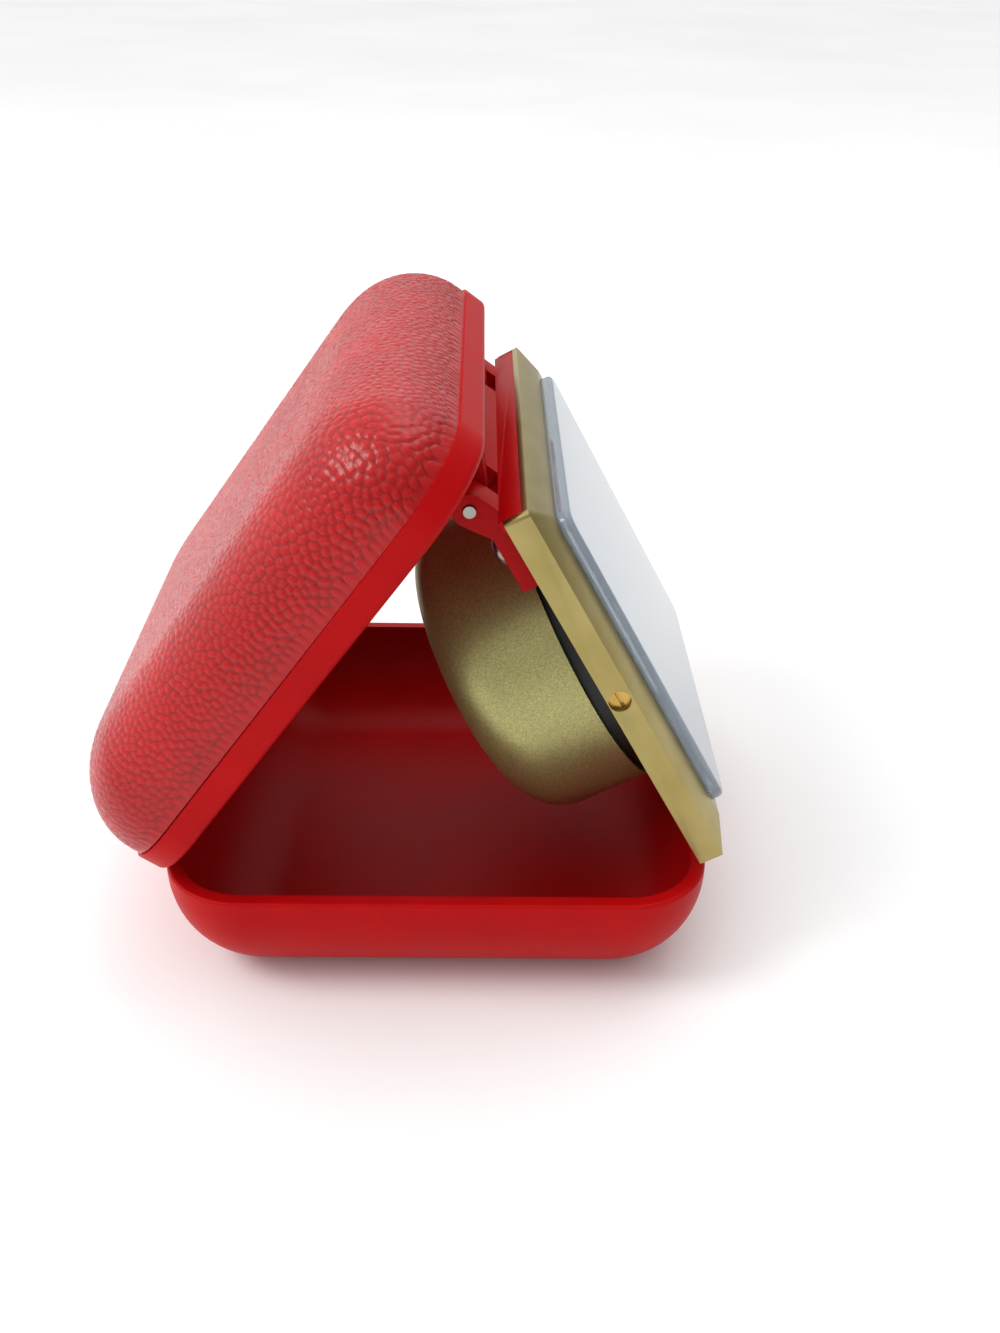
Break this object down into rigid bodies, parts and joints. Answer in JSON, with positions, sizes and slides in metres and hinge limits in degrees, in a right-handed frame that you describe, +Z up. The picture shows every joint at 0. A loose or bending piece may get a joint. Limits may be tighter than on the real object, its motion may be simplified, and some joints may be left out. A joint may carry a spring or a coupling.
{
  "type": "folding travel alarm clock",
  "caption": "Square clock in a red clamshell case that unfolds into a triangle stand, with a round winding movement behind the dial.",
  "frame": {"origin": "middle of the base tray's underside, on the surface that the clock stands on", "axes": "+X towards the front rim that the clock leans over, +Y along both hinges, +Z up"},
  "size_m": [0.0872, 0.08, 0.0841],
  "materials": {
    "smooth_red_plastic": "moulded, glossy",
    "grained_red_plastic": "moulded leather grain with a soft sheen",
    "gold_plated_bezel": "polished gold colour plate",
    "gold_lacquered_can": "satin gold lacquer",
    "clear_crystal": "clear, moulded acrylic",
    "silvered_dial": "pale silver, matt",
    "black_plastic": "black, matt",
    "black_hands": "black lacquer",
    "red_alarm_hand": "red lacquer",
    "nickel_steel": "nickel plated",
    "steel": "plain steel",
    "brass": "plain brass"
  },
  "bodies": {
    "base": {"base_tray": "smooth_red_plastic", "front_catch": "smooth_red_plastic", "case_hinge_pin": "nickel_steel"},
    "rear_shell": {"rear_shell_cover": "grained_red_plastic", "rear_shell_rim": "smooth_red_plastic", "clock_hinge_pin": "nickel_steel"},
    "clock_unit": {"hinge_bracket": "smooth_red_plastic", "bracket_screws": "nickel_steel", "bezel": "gold_plated_bezel", "bezel_side_screws": "brass", "crystal": "clear_crystal", "dial": "silvered_dial", "dial_frame": "black_plastic", "movement_can": "gold_lacquered_can", "can_screws": "nickel_steel", "front_plate": "brass", "rear_plate": "brass", "plate_pillars": "brass", "plate_screws": "nickel_steel"},
    "minute_train": {"centre_arbor": "steel", "centre_wheel": "brass", "cannon_pinion": "brass", "minute_hand": "black_hands", "time_set_knob": "black_plastic"},
    "hour_train": {"hour_wheel": "brass", "hour_hand": "black_hands"},
    "motion_wheel": {"minute_wheel": "brass"},
    "third_train": {"third_arbor": "steel", "third_wheel": "brass"},
    "escape_train": {"escape_arbor": "steel", "escape_wheel": "brass"},
    "pallets": {"pallet_lever": "steel"},
    "balance": {"balance_staff": "steel", "balance_wheel": "brass", "hairspring": "steel"},
    "going_barrel": {"main_barrel": "brass", "main_barrel_cover": "brass", "mainspring": "steel"},
    "winding": {"winding_arbor": "steel", "winding_ratchet": "steel", "winding_key": "brass"},
    "alarm_drum": {"alarm_barrel": "brass", "alarm_barrel_cover": "brass", "alarm_mainspring": "steel"},
    "alarm_winding": {"alarm_winding_arbor": "steel", "alarm_ratchet": "steel", "alarm_key": "brass"},
    "alarm_indicator": {"alarm_wheel": "brass", "alarm_hand": "red_alarm_hand"},
    "alarm_setting": {"alarm_set_arbor": "steel", "alarm_set_knob": "black_plastic"},
    "hammer": {"alarm_hammer": "steel"},
    "stop_switch": {"alarm_switch": "black_plastic"}
  },
  "joints": [
    {"name": "case_hinge", "type": "hinge", "parent": "base", "child": "rear_shell", "pos_m": [-0.038, 0, 0.01735], "axis": [0, -1, 0], "range_deg": [0, 60]},
    {"name": "clock_hinge", "type": "hinge", "parent": "rear_shell", "child": "clock_unit", "pos_m": [0.00428, 0, 0.06958], "axis": [0, 1, 0], "range_deg": [-20, 65]},
    {"name": "minute_spin", "type": "hinge", "parent": "clock_unit", "child": "minute_train", "pos_m": [0.02243, 0, 0.04455], "axis": [0.874, 0, 0.486], "continuous": true},
    {"name": "hour_spin", "type": "hinge", "parent": "clock_unit", "child": "hour_train", "pos_m": [0.02243, 0, 0.04455], "axis": [0.874, 0, 0.486], "continuous": true},
    {"name": "motion_wheel_spin", "type": "hinge", "parent": "clock_unit", "child": "motion_wheel", "pos_m": [0.02243, 0.006, 0.04455], "axis": [0.874, 0, 0.486], "continuous": true},
    {"name": "third_wheel_spin", "type": "hinge", "parent": "clock_unit", "child": "third_train", "pos_m": [0.02143, -0.00765, 0.04634], "axis": [0.874, 0, 0.486], "continuous": true},
    {"name": "escape_wheel_spin", "type": "hinge", "parent": "clock_unit", "child": "escape_train", "pos_m": [0.01813, -0.00765, 0.05228], "axis": [0.874, 0, 0.486], "continuous": true},
    {"name": "going_barrel_spin", "type": "hinge", "parent": "clock_unit", "child": "going_barrel", "pos_m": [0.02417, 0.00987, 0.04141], "axis": [0.874, 0, 0.486], "continuous": true},
    {"name": "winding_key_turn", "type": "hinge", "parent": "clock_unit", "child": "winding", "pos_m": [0.02417, 0.00987, 0.04141], "axis": [0.874, 0, 0.486], "continuous": true},
    {"name": "alarm_barrel_spin", "type": "hinge", "parent": "clock_unit", "child": "alarm_drum", "pos_m": [0.02534, -0.011, 0.03931], "axis": [0.874, 0, 0.486], "continuous": true},
    {"name": "alarm_key_turn", "type": "hinge", "parent": "clock_unit", "child": "alarm_winding", "pos_m": [0.02534, -0.011, 0.03931], "axis": [0.874, 0, 0.486], "continuous": true},
    {"name": "alarm_hand_spin", "type": "hinge", "parent": "clock_unit", "child": "alarm_indicator", "pos_m": [0.02243, 0, 0.04455], "axis": [0.874, 0, 0.486], "continuous": true},
    {"name": "alarm_knob_turn", "type": "hinge", "parent": "clock_unit", "child": "alarm_setting", "pos_m": [0.01842, 0, 0.05176], "axis": [0.874, 0, 0.486], "continuous": true},
    {"name": "pallet_rock", "type": "hinge", "parent": "clock_unit", "child": "pallets", "pos_m": [0.01611, -0.0022, 0.05591], "axis": [0.874, 0, 0.486], "range_deg": [-4, 4]},
    {"name": "balance_swing", "type": "hinge", "parent": "clock_unit", "child": "balance", "pos_m": [0.01805, 0.0085, 0.05242], "axis": [0.874, 0, 0.486], "range_deg": [-150, 150], "stiffness_Nm_per_rad": 0.000002},
    {"name": "hammer_swing", "type": "hinge", "parent": "clock_unit", "child": "hammer", "pos_m": [0.0302, 0, 0.03057], "axis": [0.874, 0, 0.486], "range_deg": [-8, 8]},
    {"name": "alarm_switch_slide", "type": "slide", "parent": "clock_unit", "child": "stop_switch", "axis": [0, 1, 0], "range_m": [0, 0.0024]}
  ],
  "couplings": [
    {"joint": "hour_spin", "follows": "minute_spin", "ratio": 0.083333},
    {"joint": "motion_wheel_spin", "follows": "minute_spin", "ratio": -0.33333},
    {"joint": "third_wheel_spin", "follows": "minute_spin", "ratio": -8},
    {"joint": "escape_wheel_spin", "follows": "minute_spin", "ratio": 60},
    {"joint": "going_barrel_spin", "follows": "minute_spin", "ratio": -0.16667},
    {"joint": "alarm_knob_turn", "follows": "alarm_hand_spin", "ratio": -2}
  ]
}
